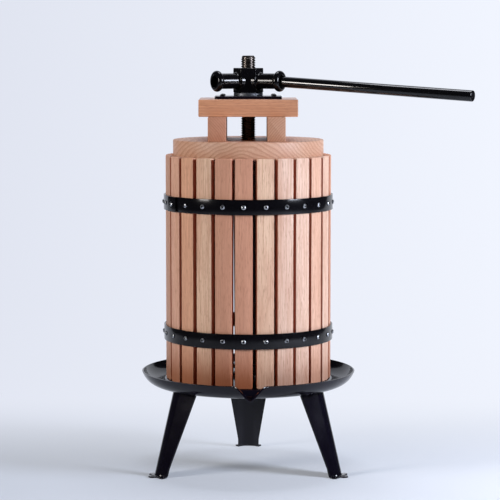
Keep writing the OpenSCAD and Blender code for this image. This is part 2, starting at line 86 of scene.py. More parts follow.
# Planed, unvarnished beech: growth rings, long fibre streaks and short dark ray flecks.
# Every wooden piece carries its own place in the trunk (grain, in mm) and its own tone.
# The slats' side faces are coloured darker and redder, and their lower ends are darkened as painted shade
# near the black tray.
def beech(name, look):
    material, tree = newTree(name)
    grain = addNode(tree, "Attribute", attribute_name="grain").outputs["Vector"]
    colour = addNode(tree, "Attribute", attribute_name="woodTone").outputs["Color"]
    slatSide, footShade, footShadeShare = (addNode(tree, "Attribute", attribute_name=mark).outputs["Fac"]
                         for mark in ("slatSide", "footShade", "footShadeShare"))

    def stretched(across, along, detail):  # noise whose grains are so many mm wide and long
        fine = (1 / across, 1 / across, 1 / along)
        place = addNode(tree, "VectorMath", {0: grain, 1: fine}, operation="MULTIPLY")
        return addNode(tree, "TexNoise", {
            "Vector": place, "Scale": 1.0, "Detail": detail, "Roughness": look["noiseRough"]})

    sway = stretched(look["swayAcross"], look["swayAlong"], detail=2.0).outputs["Color"]
    centred = addNode(tree, "VectorMath", {0: sway, 1: (0.5, 0.5, 0.5)}, operation="SUBTRACT")
    shifted = addNode(tree, "VectorMath", {0: centred, 1: (look["sway"],) * 3, 2: grain},
                      operation="MULTIPLY_ADD")
    perRing = (1 / look["ring"], 1 / look["ring"], 0.0)
    section = addNode(tree, "VectorMath", {0: shifted, 1: perRing}, operation="MULTIPLY")
    rings = addNode(tree, "VectorMath", {0: section}, operation="LENGTH").outputs["Value"]
    phase = addNode(tree, "Math", {0: rings}, operation="FRACT")
    ringLine = addNode(tree, "ValToRGB", {"Fac": phase})
    setRamp(ringLine, look["ringRamp"])
    fibre = stretched(look["fibreWide"], look["fibreLong"], detail=3.0).outputs["Fac"]
    broad = stretched(look["broadWide"], look["broadLong"], detail=2.0).outputs["Fac"]
    flecks = stretched(look["fleckWide"], look["fleckLong"], detail=1.0).outputs["Fac"]
    fleckSpot = addNode(tree, "ValToRGB", {"Fac": flecks})
    setRamp(fleckSpot, look["fleckRamp"])

    amounts = {}  # how much of each layer's colour shows
    for layer, mask in (("ring", ringLine), ("fleck", fleckSpot), ("slatSide", slatSide)):
        amounts[layer] = addNode(tree, "Math", {0: mask, 1: look[layer + "Depth"]}, operation="MULTIPLY")
    for layer, noise in (("fibre", fibre), ("broad", broad)):
        amounts[layer] = addNode(tree, "MapRange", {
            "Value": noise, "From Min": look[layer + "From"], "From Max": look[layer + "Full"],
            "To Max": look[layer + "Depth"]})
    # painted shade: each slat's foot darkens towards the tray, by that slat's share
    footShadeRamp = addNode(tree, "MapRange", {"Value": footShade, "To Max": look["footShadeDepth"]},
                     interpolation_type="SMOOTHSTEP")
    amounts["footShade"] = addNode(tree, "Math", {0: footShadeRamp, 1: footShadeShare}, operation="MULTIPLY")
    for layer in ("ring", "fibre", "broad", "fleck", "slatSide", "footShade"):  # each lies over the ones before
        colour = addNode(tree, "Mix", {
            0: amounts[layer], 6: colour, 7: linear(look[layer + "Colour"])}, data_type="RGBA").outputs[2]

    height = addNode(tree, "Math", {0: amounts["fleck"], 1: -1.0, 2: fibre}, operation="MULTIPLY_ADD")
    bump = addNode(tree, "Bump", {
        "Height": height, "Strength": look["relief"], "Distance": look["reliefDeep"] * mm})
    rough = addNode(tree, "MapRange", {
        "Value": fibre, "To Min": look["roughLow"], "To Max": look["roughHigh"]})
    shader = addNode(tree, "BsdfPrincipled", {
        "Base Color": colour, "Roughness": rough, "IOR": 1.5, "Specular IOR Level": look["gloss"],
        "Normal": bump})
    addNode(tree, "OutputMaterial", {"Surface": shader})
    return material


# planed faces: fine long streaks and a dull sheen
slatLook = {"ring": 3.2, "ringDepth": 0.30, "ringColour": "#b97f64",
            "ringRamp": [(0.0, 0.25), (0.35, 0.0), (0.8, 0.55), (0.93, 1.0), (1.0, 0.25)],
            "sway": 6.0, "swayAcross": 40, "swayAlong": 150, "noiseRough": 0.55,
            "fibreWide": 1.5, "fibreLong": 55, "fibreDepth": 0.62, "fibreColour": "#b57c62",
            "fibreFrom": 0.42, "fibreFull": 0.75,
            "broadWide": 26, "broadLong": 200, "broadDepth": 0.42, "broadColour": "#c58d70",
            "broadFrom": 0.35, "broadFull": 0.7,
            # real flecks are 0.3 mm wide: drawn wider so that they show
            "fleckWide": 1.1, "fleckLong": 12, "fleckDepth": 0.42, "fleckColour": "#9c634a",
            "fleckRamp": [(0.56, 0.0), (0.70, 1.0)],
            # side faces coloured darker and redder; painted shade at the slats' feet
            "slatSideDepth": 0.78, "slatSideColour": "#a84a22", "footShadeDepth": 0.85, "footShadeColour": "#a55a34",
            "relief": 0.25, "reliefDeep": 0.15, "gloss": 0.35, "roughLow": 0.50, "roughHigh": 0.68}
# wide boards cut round: broad arcs on the rim
discLook = dict(slatLook, ring=5.4, ringDepth=0.70, ringColour="#a46a4d", sway=46.0, swayAcross=95,
                swayAlong=320, fibreLong=30, fleckDepth=0.35, roughLow=0.40, roughHigh=0.52)
# sawn ends towards the eye: close rings and short flecks
barLook = dict(slatLook, ring=3.6, ringDepth=0.78, ringColour="#94593f", sway=5.0, fibreWide=1.2,
               fibreLong=14, fleckLong=5, fleckDepth=0.5)
# planed smoothest: straight lines along the block and a soft shine on its top
beamLook = dict(slatLook, ring=4.6, ringDepth=0.34, ringColour="#a3623f", sway=7.0, swayAlong=240,
                fibreLong=90, fibreColour="#a8684a", fleckDepth=0.35, roughLow=0.24, roughHigh=0.34)
slatBeech = beech("planedBeechSlat", slatLook)
discBeech = beech("planedBeechDisc", discLook)
barBeech = beech("sawnBeechBar", barLook)
beamBeech = beech("planedBeechBeam", beamLook)

noiseLow, noiseHigh = 0.3, 0.7  # most of a noise lies between these
rippleDeep = 0.1  # mm between the crests and the hollows of the spray


def clouded(tree, noise, look):  # gloss and colour that drift with a noise
    rough = addNode(tree, "MapRange", {
        "Value": noise, "From Min": noiseLow, "From Max": noiseHigh,
        "To Min": look["roughLow"], "To Max": look["roughHigh"]})
    colour = addNode(tree, "Mix", {0: noise, 6: linear(look["dark"]), 7: linear(look["pale"])},
                     data_type="RGBA").outputs[2]
    return rough, colour


# Baked black enamel, sprayed on steel and iron: a dark, smooth, glossy film that mirrors the lamps with
# soft edges. The orange peel of the spray (ripple) and the clouds in its gloss are sizes in mm.
def enamel(name, look):
    material, tree = newTree(name)
    place = addNode(tree, "TexCoord").outputs["Object"]
    ripple, cloud = (addNode(tree, "TexNoise", {
        "Vector": place, "Scale": 1 / (look[kind] * mm), "Detail": detail}).outputs["Fac"]
        for kind, detail in (("ripple", 2.0), ("cloud", 3.0)))
    rough, colour = clouded(tree, cloud, look)
    bump = addNode(tree, "Bump", {
        "Height": ripple, "Strength": look["relief"], "Distance": rippleDeep * mm})
    shader = addNode(tree, "BsdfPrincipled", {
        "Base Color": colour, "Roughness": rough, "IOR": 1.5, "Specular IOR Level": look["gloss"],
        "Normal": bump})
    addNode(tree, "OutputMaterial", {"Surface": shader})
    return material


# tray, legs and head plate: smooth pressed sheet under the film
sheetLook = {"ripple": 1.6, "cloud": 35, "relief": 0.06, "roughLow": 0.10, "roughHigh": 0.15, "gloss": 0.32,
             "dark": "#0a0711", "pale": "#0d0a16"}
# hoops: rolled strip, a thinner film
stripLook = {"ripple": 1.6, "cloud": 35, "relief": 0.05, "roughLow": 0.12, "roughHigh": 0.17, "gloss": 0.24,
             "dark": "#08070a", "pale": "#0c0b0f"}
# nut and plate screws: a thick film that levels out, with small soft highlights
castLook = {"ripple": 2.2, "cloud": 12, "relief": 0.02, "roughLow": 0.12, "roughHigh": 0.18, "gloss": 0.28,
            "dark": "#070609", "pale": "#0b0a0d"}
# bar: drawn round, so the shine runs along it in one line
barPaintLook = {"ripple": 3.0, "cloud": 30, "relief": 0.02, "roughLow": 0.07, "roughHigh": 0.11, "gloss": 0.5,
                "dark": "#09080b", "pale": "#0c0b0e"}
sheetEnamel = enamel("bakedEnamelSheet", sheetLook)
stripEnamel = enamel("bakedEnamelStrip", stripLook)
castEnamel = enamel("glossEnamelCasting", castLook)
barEnamel = enamel("glossEnamelBar", barPaintLook)

recessShadeColour = "#151517"  # painted shade in the recess of a screw


# Bare metal: a grey mirror with fine tool marks (sizes in mm) that break up its gloss
def bareMetal(name, look):
    material, tree = newTree(name)
    place = addNode(tree, "TexCoord").outputs["Object"]
    fine = [1 / (size * mm) for size in look["mark"]]
    marks = addNode(tree, "VectorMath", {0: place, 1: fine}, operation="MULTIPLY")
    noise = addNode(tree, "TexNoise", {"Vector": marks, "Scale": 1.0, "Detail": 3.0}).outputs["Fac"]
    rough, colour = clouded(tree, noise, look)
    # painted shade: faces down in a screw's recess are coloured near black
    recess = addNode(tree, "Attribute", attribute_name="recess").outputs["Fac"]
    colour = addNode(tree, "Mix", {0: recess, 6: colour, 7: linear(recessShadeColour)},
                     data_type="RGBA").outputs[2]
    shader = addNode(tree, "BsdfPrincipled", {
        "Base Color": colour, "Metallic": 1.0, "Roughness": rough, "Specular Tint": linear(look["rim"])})
    addNode(tree, "OutputMaterial", {"Surface": shader})
    return material


# electroplated: bright, a little milky
zincLook = {"mark": (2, 2, 2), "roughLow": 0.24, "roughHigh": 0.38, "dark": "#a0a3a8", "pale": "#c4c7cc",
            "rim": "#d8d8d8"}
# turned and wiped with oil: dark brown, with a dim shine on the crests
oiledLook = {"mark": (20, 20, 3), "roughLow": 0.28, "roughHigh": 0.38, "dark": "#49433f", "pale": "#6c6662",
             "rim": "#6a6462"}
# turned dry: plain grey, with fine circles from the lathe
turnedLook = {"mark": (8, 8, 0.5), "roughLow": 0.48, "roughHigh": 0.60, "dark": "#5c5f65", "pale": "#7a7d83",
              "rim": "#a8a8ac"}
brightZinc = bareMetal("brightZinc", zincLook)
oiledSteel = bareMetal("oiledTurnedSteel", oiledLook)
turnedSteel = bareMetal("turnedSteel", turnedLook)
print("materials made:", len(bpy.data.materials))


# mesh helpers: outlines are lists of 2-D vectors, counter-clockwise
def arc(centre, radius, fromDeg, toDeg, steps):
    turns = [math.radians(fromDeg + (toDeg - fromDeg) * k / steps) for k in range(steps + 1)]
    return [Vector((centre[0] + radius * math.cos(t), centre[1] + radius * math.sin(t))) for t in turns]


def roundedRect(width, height, radius, steps=4):
    x, y = width / 2 - radius, height / 2 - radius
    corners = ((x, y, 0), (-x, y, 90), (-x, -y, 180), (x, -y, 270))
    return [p for cx, cy, turn in corners for p in arc((cx, cy), radius, turn, turn + 90, steps)]


def filletPath(points, size, steps=5):  # rounds the inner corners of an open path
    path = [points[0]]
    for before, corner, after in zip(points, points[1:], points[2:]):
        start = corner + (before - corner).normalized() * size
        end = corner + (after - corner).normalized() * size
        for k in range(steps + 1):
            t = k / steps
            path.append(start.lerp(corner, t).lerp(corner.lerp(end, t), t))
    return path + [points[-1]]


def insetLoop(loop, depth):
    inner = []
    for k, point in enumerate(loop):
        before = (point - loop[k - 1]).normalized()
        after = (loop[(k + 1) % len(loop)] - point).normalized()
        normal = Vector((-before.y, before.x))
        mitre = (normal + Vector((-after.y, after.x))).normalized()
        inner.append(point + mitre * depth / max(0.3, mitre.dot(normal)))  # a sharp corner isn't overshot
    return inner


def stack(rings, closedEnds=True):  # rings of equal length joined into a skin
    count = len(rings[0])
    verts = [v for ring in rings for v in ring]
    faces = []
    for level in range(len(rings) - 1):
        for k in range(count):
            a, b = level * count + k, level * count + (k + 1) % count
            faces.append((a, b, b + count, a + count))
    if closedEnds:
        faces.append(tuple(reversed(range(count))))
        faces.append(tuple(range((len(rings) - 1) * count, len(rings) * count)))
    return verts, faces


def slab(loop, low, high, edge, hole=0.0, steps=3):  # plate with rounded edges and maybe a round hole
    turns = [math.pi / 2 * k / steps for k in range(steps + 1)]
    levels = [(edge * (1 - math.sin(t)), low + edge * (1 - math.cos(t))) for t in turns]
    levels += [(edge * (1 - math.sin(t)), high - edge * (1 - math.cos(t))) for t in reversed(turns)]
    rings = [[Vector((p.x, p.y, z)) for p in insetLoop(loop, inset)] for inset, z in levels]
    if not hole:
        return stack(rings)
    angles = [math.atan2(p.y, p.x) for p in loop]
    for z in (high, low):
        rings.append([Vector((hole * math.cos(a), hole * math.sin(a), z)) for a in angles])
    return stack(rings + rings[:1], closedEnds=False)


def lathe(profile, steps):  # profile of (radius, height), turned about Z
    rings = []
    for radius, height in profile:
        turns = [2 * math.pi * k / steps for k in range(steps)]
        rings.append([Vector((radius * math.cos(t), radius * math.sin(t), height)) for t in turns])
    return stack(rings)


def moved(shape, matrix):
    verts, faces = shape
    return [matrix @ v for v in verts], faces


def joined(shapes):
    verts, faces = [], []
    for shapeVerts, shapeFaces in shapes:
        faces += [tuple(k + len(verts) for k in face) for face in shapeFaces]
        verts += shapeVerts
    return verts, faces


weldGap = 0.002  # mm: corners closer than this become one


def addMesh(name, shape):
    mesh = bpy.data.meshes.new(name)
    mesh.from_pydata([tuple(v) for v in shape[0]], [], shape[1])
    work = bmesh.new()
    work.from_mesh(mesh)
    bmesh.ops.remove_doubles(work, verts=work.verts, dist=weldGap * mm)
    bmesh.ops.recalc_face_normals(work, faces=work.faces)
    work.to_mesh(mesh)
    work.free()
    piece = bpy.data.objects.new(name, mesh)
    scene.collection.objects.link(piece)
    return piece


def bakeModifiers(piece):
    bpy.context.view_layer.update()
    graph = bpy.context.evaluated_depsgraph_get()
    mesh = bpy.data.meshes.new_from_object(piece.evaluated_get(graph))
    piece.modifiers.clear()
    piece.data = mesh
    mesh.name = piece.name


def cutAway(piece, cutter):
    cut = piece.modifiers.new("cut", "BOOLEAN")
    cut.operation = "DIFFERENCE"
    cut.object = cutter
    bakeModifiers(piece)
    bpy.data.objects.remove(cutter)


def takeShape(piece):  # vertices and faces of a piece that was only needed for its cuts
    shape = [v.co.copy() for v in piece.data.vertices], [tuple(p.vertices) for p in piece.data.polygons]
    bpy.data.objects.remove(piece)
    return shape


def finishPiece(piece, material, body, replaced, sharpDeg=38):
    piece.data.materials.clear()
    piece.data.materials.append(material)
    piece.data.shade_smooth()
    piece.data.set_sharp_from_angle(angle=math.radians(sharpDeg))
    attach(piece, body)
    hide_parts(*replaced)


def setGrain(piece, origin, axes, pith, shift, tone):  # axes: two across the trunk, one along it
    mesh = piece.data
    mesh.attributes.new("grain", "FLOAT_VECTOR", "POINT")
    mesh.attributes.new("woodTone", "FLOAT_COLOR", "POINT")
    places = []
    for vertex in mesh.vertices:
        away = (vertex.co - origin) / mm
        places += [away.dot(axes[0]) + pith[0], away.dot(axes[1]) + pith[1], away.dot(axes[2]) + shift]
    mesh.attributes["grain"].data.foreach_set("vector", places)
    mesh.attributes["woodTone"].data.foreach_set("color", linear(tone) * len(mesh.vertices))


def boxMiddle(node):
    low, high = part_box(node)
    return (low + high) / 2


def spanAlong(node, direction):  # lowest and highest reach of a CAD node along a direction
    reach = [v.co.dot(direction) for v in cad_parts[node].data.vertices]
    return min(reach), max(reach)


axisX, axisY, axisZ = Vector((1, 0, 0)), Vector((0, 1, 0)), Vector((0, 0, 1))

# slats: eased long edges, rounded corners, each from its own board
slatSpec = {"count": 25, "corner": 3.0, "edge": 0.9, "slatSideSlack": 0.05,
            "seed": 11, "pithFar": (40, 130), "pithTurn": 70, "trunkLong": 5000,
            "wide": {13: 0.5, 14: 0.5},  # mm added at both sides of a slat
            "lean": {13: (-1.6, 1.4)},  # mm that a slat's foot and top stand to the side
            # painted shade near the black tray darkens this many mm of each slat's foot, more on some slats
            # than on others
            "footShade": 78, "footShadeShare": 0.42, "footShadeShares": {0: 1.0, 21: 0.8, 22: 0.9, 23: 0.9, 24: 1.0},
            "tones": {"rose": "#d29b80", "honey": "#e3ae8d", "pink": "#e5b69d", "sand": "#e9c6a8",
                      "pale": "#edceb7", "peach": "#e2b79d", "dusk": "#c8a089"},
            "order": ["rose", "sand", "pale", "pale", "peach", "pale", "rose", "honey", "pink",
                      "sand", "rose", "peach", "pink", "honey", "sand", "pink", "rose", "sand",
                      "honey", "pink", "dusk", "pink", "honey", "sand", "rose"]}


def makeSlats():
    spec = slatSpec
    draw = random.Random(spec["seed"])
    for k in range(spec["count"]):
        node = f"slat_{k + 1:02d}"
        middle = boxMiddle(node)
        outward = Vector((middle.x, middle.y, 0)).normalized()
        across = Vector((-outward.y, outward.x, 0))
        inner, outer = spanAlong(node, outward)
        left, right = spanAlong(node, across)
        bottom, top = spanAlong(node, axisZ)
        wider = 2 * spec["wide"].get(k, 0.0) * mm
        loop = roundedRect(right - left + wider, top - bottom, spec["corner"] * mm)
        shape = slab(loop, inner, outer, spec["edge"] * mm)
        matrix = Matrix((across, axisZ, outward)).transposed().to_4x4()
        matrix.translation = across * (left + right) / 2 + axisZ * (bottom + top) / 2
        piece = addMesh(f"slatBoard{k + 1:02d}", moved(shape, matrix))
        away = draw.uniform(*spec["pithFar"])
        turn = math.radians(draw.uniform(-spec["pithTurn"], spec["pithTurn"]))
        setGrain(piece, middle, (across, outward, axisZ), (away * math.sin(turn), away * math.cos(turn)),
                 draw.uniform(0, spec["trunkLong"]), spec["tones"][spec["order"][k]])
        halfW = (right - left + wider) / 2 - spec["slatSideSlack"] * mm
        # the side faces, towards the gaps between the slats, get a darker, redder colour
        slatSide = [float(abs((v.co - middle).dot(across)) > halfW) for v in piece.data.vertices]
        # painted shade, strongest at the foot of each slat and gone this many mm up
        footShade = [1 - (v.co.z - bottom) / (spec["footShade"] * mm) for v in piece.data.vertices]
        footShadeShare = [spec["footShadeShares"].get(k, spec["footShadeShare"])] * len(footShade)
        for name, values in (("slatSide", slatSide), ("footShade", footShade), ("footShadeShare", footShadeShare)):
            piece.data.attributes.new(name, "FLOAT", "POINT")
            piece.data.attributes[name].data.foreach_set("value", values)
        low, high = (slip * mm for slip in spec["lean"].get(k, (0.0, 0.0)))
        for v in piece.data.vertices:
            v.co += across * (low + (high - low) * (v.co.z - bottom) / (top - bottom))
        finishPiece(piece, slatBeech, "basket", [node])


makeSlats()
print("slats made:", slatSpec["count"])

# pan-head screws with a cross recess
hoopScrewSpec = {"headR": 3.7, "headH": 2.6, "shankR": 1.75, "sideShare": 0.4, "domeSteps": 8, "steps": 40,
                 "seatShare": 0.96, "seatEase": 0.2, "tipR": 0.02,
                 "recessL": 5.0, "recessW": 1.1, "recessDeep": 1.2, "recessEase": 0.2, "recessEdge": 0.1,
                 "coreR": 1.65, "coreDeep": 1.8, "coreSteps": 16, "past": 1.0, "rim": 0.7, "seed": 5}
plateScrewSpec = dict(hoopScrewSpec, headR=4.5, headH=2.8, shankR=2.5, firstTurn=0.4)


def screwShape(spec, shankLength):  # along +Z, seat at z = 0
    headR, headH = spec["headR"] * mm, spec["headH"] * mm
    shankR = spec["shankR"] * mm
    sideH = headH * spec["sideShare"]
    crown = headH - sideH
    crownR = (headR ** 2 + crown ** 2) / (2 * crown)
    turns = [math.asin(headR / crownR) * (1 - k / spec["domeSteps"]) for k in range(spec["domeSteps"])]
    profile = [(shankR, -shankLength), (shankR, 0), (headR * spec["seatShare"], 0),
               (headR, spec["seatEase"] * mm)]
    profile += [(crownR * math.sin(t), headH - crownR * (1 - math.cos(t))) for t in turns]
    profile.append((spec["tipR"] * mm, headH))
    solid = addMesh("screwSolid", lathe(profile, spec["steps"]))
    past, edge = headH + spec["past"] * mm, spec["recessEdge"] * mm
    bar = slab(roundedRect(spec["recessL"] * mm, spec["recessW"] * mm, spec["recessEase"] * mm, steps=2),
               headH - spec["recessDeep"] * mm, past, edge, steps=1)
    cuts = [moved(bar, Matrix.Rotation(math.radians(turn), 4, "Z")) for turn in (0, 90)]
    core = arc((0, 0), spec["coreR"] * mm, 0, 360 - 360 / spec["coreSteps"], spec["coreSteps"] - 1)
    cuts.append(slab(core, headH - spec["coreDeep"] * mm, past, edge, steps=1))
    for number, cut in enumerate(cuts):
        cutAway(solid, addMesh(f"recessArm{number}", cut))
    return takeShape(solid)


# finds the recess faces that get painted shade
def recessShadeFaces(shape, spec):  # 1 for each face that lies down in the recess
    verts, faces = shape
    marks = []
    for face in faces:
        middle = sum((verts[k] for k in face), Vector()) / len(face) / mm
        inside = math.hypot(middle.x, middle.y) < spec["recessL"] / 2
        marks.append(float(inside and spec["seatEase"] < middle.z < spec["headH"] - spec["rim"]))
    return marks


# hoops: flat strip with rounded edges, lapped over itself at one slat
hoopSpec = {"thick": 3.0, "edge": 0.35, "steps": 240, "lapDeg": 10.6, "lapSteps": 12, "screwGrip": 10,
            "laps": {"upper": "slat_22", "lower": "slat_10"}}


def stripRing(innerR, thick, low, high, edge):  # cross-section of a strip, as (radius, height)
    loop = roundedRect(thick, high - low, edge, steps=3)
    return [(p.x + innerR + thick / 2, p.y + (low + high) / 2) for p in loop]


def sweep(section, fromRad, toRad, steps, closed):
    rings = []
    for k in range(steps + 1):
        turn = fromRad + (toRad - fromRad) * k / steps
        rings.append([Vector((r * math.cos(turn), r * math.sin(turn), z)) for r, z in section])
    return stack(rings, closedEnds=not closed)


def slatTurn(node):
    middle = boxMiddle(node)
    return math.atan2(middle.y, middle.x)


def makeHoops():
    spec = hoopSpec
    thick, edge = spec["thick"] * mm, spec["edge"] * mm
    halfLap = math.radians(spec["lapDeg"]) / 2
    screw = screwShape(hoopScrewSpec, (spec["thick"] + spec["screwGrip"]) * mm)
    marks = recessShadeFaces(screw, hoopScrewSpec)
    draw = random.Random(hoopScrewSpec["seed"])
    for level, lapNode in spec["laps"].items():
        hoop = "hoop_" + level
        low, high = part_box(hoop)
        innerR = min(math.hypot(v.co.x, v.co.y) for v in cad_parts[hoop].data.vertices)
        lapTurn = slatTurn(lapNode)
        band = sweep(stripRing(innerR, thick, low.z, high.z, edge), 0, 2 * math.pi, spec["steps"], True)
        lap = sweep(stripRing(innerR + thick, thick, low.z, high.z, edge), lapTurn - halfLap,
                    lapTurn + halfLap, spec["lapSteps"], False)
        piece = addMesh("hoopBand" + level.capitalize(), joined([band, lap]))
        finishPiece(piece, stripEnamel, "basket", [hoop])
        heads = []
        for k in range(slatSpec["count"]):
            node = f"slat_{k + 1:02d}"
            turn = slatTurn(node)
            seat = innerR + thick * (2 if node == lapNode else 1)
            spin = Matrix.Rotation(draw.uniform(0, math.pi / 2), 4, "Z")
            place = Matrix.Rotation(turn, 4, "Z") @ Matrix.Translation((seat, 0, (low.z + high.z) / 2))
            heads.append(moved(screw, place @ Matrix.Rotation(math.pi / 2, 4, "Y") @ spin))
        piece = addMesh("hoopScrews" + level.capitalize(), joined(heads))
        # painted shade on the recess faces of every head
        piece.data.attributes.new("recess", "FLOAT", "FACE")
        piece.data.attributes["recess"].data.foreach_set("value", marks * slatSpec["count"])
        finishPiece(piece, brightZinc, "basket", ["hoop_screws_" + level])


makeHoops()
print("hoops and their screws made")

# drip tray: one pressed sheet, with a flat middle, a channel, a curved wall and a V spout
traySpec = {"sheet": 2.5, "hole": 12.5, "platformStops": (70, 120), "platformR": 143, "platformZ": 156.5,
            "channelR": 148.5, "channelZ": 146, "channelLead": 4, "wallR": 31.5, "rimDeg": 73, "bend": 3.0,
            "spoutReach": 190, "spoutTurn": 1.0, "spoutPlanR": 40, "spoutNose": 2.0, "spoutSlope": 45,
            "shoulderR": 14, "lipSlope": 4, "blend": 2.5, "leastBlend": 0.01, "frontDeg": 45,
            "fineDeg": 14, "fineStep": 0.5, "plainStep": 2.5, "wallSteps": 26,
            "edge": 0.7, "edgeDeg": 60, "sharpDeg": 50}
rimTurn = math.radians(traySpec["rimDeg"])
rimRise = traySpec["wallR"] * (1 - math.cos(rimTurn))


def spoutRise(x):  # height of the spout's V above the channel at a distance from its middle
    spec = traySpec
    radius = spec["shoulderR"]
    slope = math.radians(spec["spoutSlope"])
    shoulderX = rimRise + radius * math.tan(slope / 2)
    tangentX = shoulderX - radius * math.sin(slope)
    nose = spec["spoutNose"]
    if x < tangentX:
        return math.hypot(x, nose) - nose * (1 - x / tangentX)
    if x < shoulderX:
        return rimRise - radius + math.sqrt(max(0.0, radius ** 2 - (shoulderX - x) ** 2))
    return rimRise


def softMin(a, b, width):
    share = max(0.0, width - abs(a - b)) / width
    return min(a, b) - share * share * width / 4


def makeTray():
    spec = traySpec
    rimR = spec["channelR"] + spec["wallR"] * math.sin(rimTurn)
    platform = (spec["hole"], *spec["platformStops"], spec["platformR"])
    floorPath = [Vector((r, spec["platformZ"])) for r in platform]
    floorPath += [Vector((spec["channelR"] + lead, spec["channelZ"])) for lead in (0, spec["channelLead"])]
    flat = filletPath(floorPath, spec["bend"])[:-1]
    planMiddle = spec["spoutReach"] - spec["spoutPlanR"]
    fineCount = int(spec["fineDeg"] / spec["fineStep"])
    plainCount = int((360 - 2 * spec["fineDeg"]) / spec["plainStep"])
    turns = [k * spec["fineStep"] for k in range(-fineCount, fineCount + 1)]
    turns += [spec["fineDeg"] + k * spec["plainStep"] for k in range(1, plainCount + 1)]
    columns = []
    for deg in turns:
        side = math.radians(deg)
        reach = rimR
        room = spec["spoutPlanR"] ** 2 - (planMiddle * math.sin(side)) ** 2
        inFront = abs(deg) < spec["frontDeg"] and room > 0
        if inFront:
            reach = max(rimR, planMiddle * math.cos(side) + math.sqrt(room))
        column = [Vector((p.x, p.y)) for p in flat]
        start = flat[-1].x
        for k in range(1, spec["wallSteps"] + 1):
            share = math.sin(rimTurn * k / spec["wallSteps"]) / math.sin(rimTurn)
            r = start + (reach - start) * share
            run = max(0.0, min(r, rimR) - spec["channelR"])
            rise = spec["wallR"] - math.sqrt(spec["wallR"] ** 2 - run ** 2)
            if r > rimR:
                rise += (r - rimR) * spec["lipSlope"]
            if inFront:
                lid = spoutRise(abs(r * math.sin(side)))
                rise = softMin(rise, lid, max(spec["leastBlend"], min(spec["blend"], rimRise - lid)))
            column.append(Vector((r, spec["channelZ"] + rise)))
        turned = side + math.radians(spec["spoutTurn"])
        columns.append([Vector((p.x * math.sin(turned), -p.x * math.cos(turned), p.y)) * mm for p in column])
    rows = [[column[k] for column in columns] for k in range(len(columns[0]))]
    piece = addMesh("dripTraySheet", stack(rows, closedEnds=False))
    if piece.data.polygons[0].normal.z < 0:
        piece.data.flip_normals()
    thicken = piece.modifiers.new("sheet", "SOLIDIFY")
    thicken.thickness = spec["sheet"] * mm
    thicken.offset = -1
    thicken.use_even_offset = True
    rounding = piece.modifiers.new("edge", "BEVEL")
    rounding.width = spec["edge"] * mm
    rounding.segments = 2
    rounding.limit_method = "ANGLE"
    rounding.angle_limit = math.radians(spec["edgeDeg"])
    bakeModifiers(piece)
    finishPiece(piece, sheetEnamel, "base", ["drip_tray"], spec["sharpDeg"])


makeTray()
print("drip tray made")

# legs: pressed channels that taper to an ankle and turn out into a foot
legSpec = {"nodes": {"leg_left": -150, "leg_right": -30, "leg_rear": 90}, "height": 154, "topR": 137,
           "footR": 178, "topW": 81.6, "ankleW": 37, "ankleZ": 15, "strip": 16, "topDeep": 18, "footDeep": 9,
           "sheet": 3.0, "bend": 4.5, "flare": 2.4, "flareZ": 5.0, "flareSide": 0.4,
           "levels": 28, "levelPower": 2.1,  # levels lie closer towards the ankle
           "footW": 46, "footThick": 2.5, "footLip": 3.0, "footCorner": 5.0, "cornerDeg": 150,
           "footEdge": 0.7, "toe": 13.5, "tabFillet": 3.0, "holeOut": 6.3, "holeR": 3.5, "punchTop": 5,
           "lip": 1.5, "earHeel": 43, "earHalfW": 30, "earEdge": 0.5}


def legLine(u, halfW, deep):
    halfStrip = legSpec["strip"] / 2
    corners = [(u - deep, -halfW), (u, -halfStrip), (u, halfStrip), (u - deep, halfW)]
    return filletPath([Vector(corner) for corner in corners], legSpec["bend"], steps=6)


def legRing(z):
    spec = legSpec
    share = max(0.0, (z - spec["ankleZ"]) / (spec["height"] - spec["ankleZ"]))
    flare = spec["flare"] * max(0.0, 1 - z / spec["flareZ"]) ** 2
    u = spec["footR"] + (spec["topR"] - spec["footR"]) * z / spec["height"] + flare
    halfW = (spec["ankleW"] + (spec["topW"] - spec["ankleW"]) * share) / 2 + flare * spec["flareSide"]
    deep = spec["footDeep"] + (spec["topDeep"] - spec["footDeep"]) * share
    outline = legLine(u, halfW, deep) + list(reversed(legLine(u - spec["sheet"], halfW, deep)))
    return [Vector((p.x, p.y, z)) * mm for p in outline]


def footPlate():
    spec = legSpec
    tabR = spec["toe"] - spec["holeOut"]
    holeU = spec["footR"] + spec["holeOut"]
    edgeU = spec["footR"] + spec["footLip"]
    cornerU = edgeU - spec["footCorner"]
    cornerSide = spec["footW"] / 2 - spec["footCorner"]
    filletU = edgeU + spec["tabFillet"]
    filletSide = tabR + spec["tabFillet"]
    loop = arc((cornerU, -cornerSide), spec["footCorner"], -spec["cornerDeg"], 0, steps=10)
    loop += arc((filletU, -filletSide), spec["tabFillet"], 180, 90, steps=6)
    loop += arc((holeU, 0), tabR, -90, 90, steps=20)
    loop += arc((filletU, filletSide), spec["tabFillet"], -90, -180, steps=6)
    loop += arc((cornerU, cornerSide), spec["footCorner"], 0, spec["cornerDeg"], steps=10)
    loop += reversed(legLine(spec["footR"] - spec["sheet"] / 2, spec["ankleW"] / 2, spec["footDeep"]))
    blank = slab([p * mm for p in loop], 0.0, spec["footThick"] * mm, spec["footEdge"] * mm)
    foot = addMesh("footBlank", blank)
    punchR = spec["holeR"] * mm
    punch = addMesh("footPunch", lathe([(punchR, -mm), (punchR, spec["punchTop"] * mm)], steps=32))
    punch.location.x = holeU * mm
    cutAway(foot, punch)
    return takeShape(foot)


def fixingEar():
    spec = legSpec
    heelU = spec["topR"] - spec["earHeel"]
    line = legLine(spec["topR"] + spec["lip"], spec["topW"] / 2 + spec["lip"],
                   spec["topDeep"] + spec["sheet"] + spec["lip"])
    loop = [Vector((heelU, -spec["earHalfW"]))] + line + [Vector((heelU, spec["earHalfW"]))]
    return slab([p * mm for p in loop], (spec["height"] - spec["sheet"]) * mm, spec["height"] * mm,
                spec["earEdge"] * mm)


